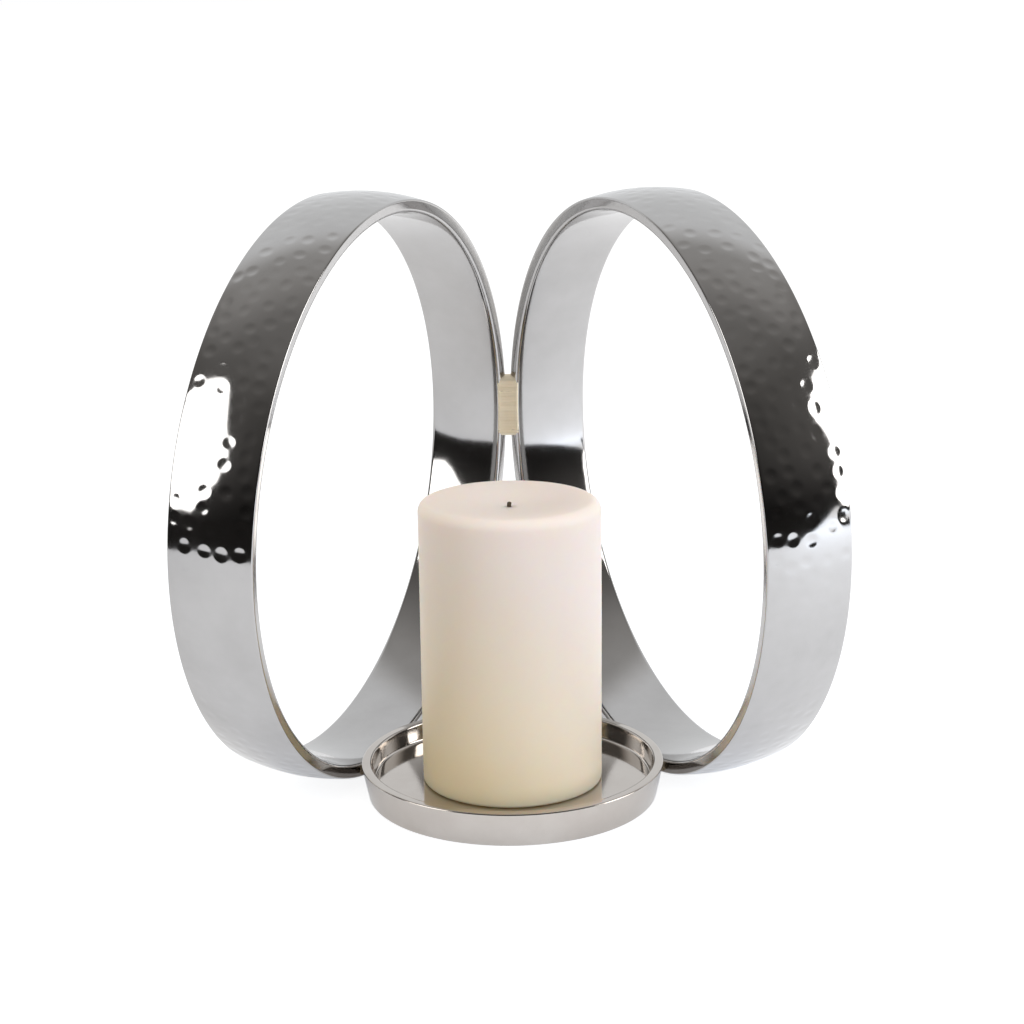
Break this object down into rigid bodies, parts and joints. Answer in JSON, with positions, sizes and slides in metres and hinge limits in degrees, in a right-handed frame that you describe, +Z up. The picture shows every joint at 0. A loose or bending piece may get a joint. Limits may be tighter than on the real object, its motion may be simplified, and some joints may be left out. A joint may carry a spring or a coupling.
{
  "type": "pillar candle holder",
  "caption": "Pillar candle holder: hammered metal hoops joined in an open V, a round dish welded between their feet, and a cream pillar candle that lifts out.",
  "frame": {"origin": "middle of the bounding box, on the surface that the part stands on", "axes": "+Z up, +X across both hoops, and the V of the hoops opens towards -Y, the front"},
  "size_m": [0.2786, 0.2592, 0.2666],
  "materials": {
    "hoop_metal": "polished, hammered on the outer face",
    "weld_metal": "ground and polished weld",
    "dish_metal": "polished",
    "wax": "satin cream wax",
    "wick": "waxed cotton"
  },
  "bodies": {
    "stand": {"left_hoop": "hoop_metal", "right_hoop": "hoop_metal", "hoop_weld": "weld_metal", "dish": "dish_metal", "left_dish_weld": "weld_metal", "right_dish_weld": "weld_metal"},
    "candle": {"candle_wax": "wax", "candle_wick": "wick"}
  },
  "joints": [
    {"name": "candle_lift", "type": "slide", "parent": "stand", "child": "candle", "axis": [0, 0, 1], "range_m": [0, 0.27]}
  ]
}
